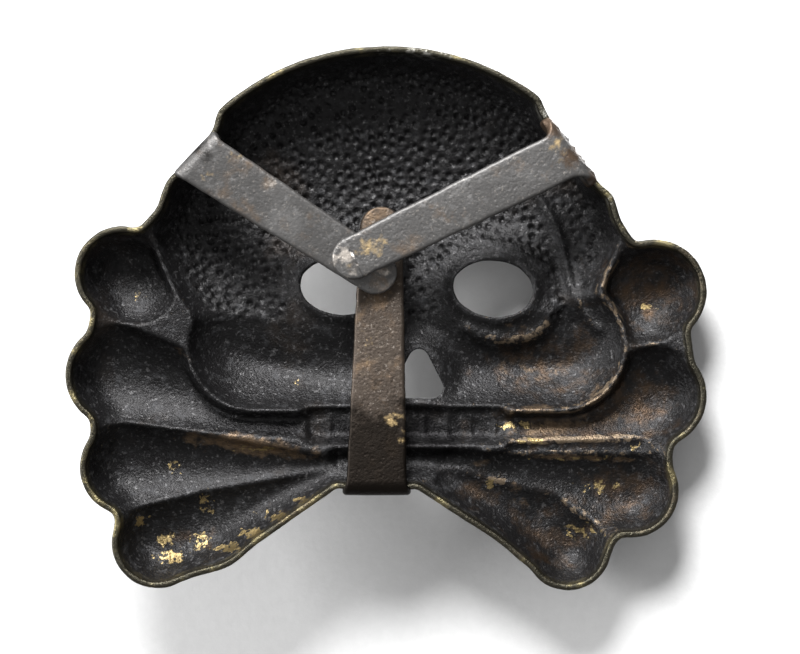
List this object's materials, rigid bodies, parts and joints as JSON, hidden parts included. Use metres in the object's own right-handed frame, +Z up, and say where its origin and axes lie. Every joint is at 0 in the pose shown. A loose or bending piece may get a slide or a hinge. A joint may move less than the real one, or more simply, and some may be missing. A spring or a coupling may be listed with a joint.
{
  "type": "cap badge",
  "caption": "Hollow stamped metal cap badge, a plain skull over crossed bones, with flat bend-over prongs folded across its back to fix it through cap cloth",
  "frame": {"origin": "middle of the badge's outline, in the plane of the sheet's cut edge at the back, which lies against the cap cloth", "axes": "+Z up as the badge is worn, +Y out of the back through the cloth, so the front faces -Y; +X to the right seen from the front"},
  "size_m": [0.031, 0.0048, 0.0263],
  "materials": {
    "patinated_brass": "blackened brass with a brown patina, gold-coloured where it is worn",
    "worn_prong": "grey tarnished plating over brass, rubbed through to gold in places"
  },
  "bodies": {
    "shell": {"badge_shell": "patinated_brass"},
    "right_tab": {"right_prong": "worn_prong"},
    "left_tab": {"left_prong": "worn_prong"},
    "lower_tab": {"lower_prong": "worn_prong"}
  },
  "joints": [
    {"name": "right_prong_bend", "type": "hinge", "parent": "shell", "child": "right_tab", "pos_m": [-0.00857, 0, 0.00789], "axis": [0.6018, 0, 0.7986], "range_deg": [0, 96]},
    {"name": "left_prong_bend", "type": "hinge", "parent": "shell", "child": "left_tab", "pos_m": [0.00886, 0, 0.00769], "axis": [0.6884, 0, -0.7254], "range_deg": [0, 89.28]},
    {"name": "lower_prong_bend", "type": "hinge", "parent": "shell", "child": "lower_tab", "pos_m": [0.00045, 0, -0.0079], "axis": [-1, 0, 0], "range_deg": [0, 69.12]}
  ],
  "couplings": [
    {"joint": "left_prong_bend", "follows": "right_prong_bend", "ratio": 0.93},
    {"joint": "lower_prong_bend", "follows": "right_prong_bend", "ratio": 0.72}
  ]
}
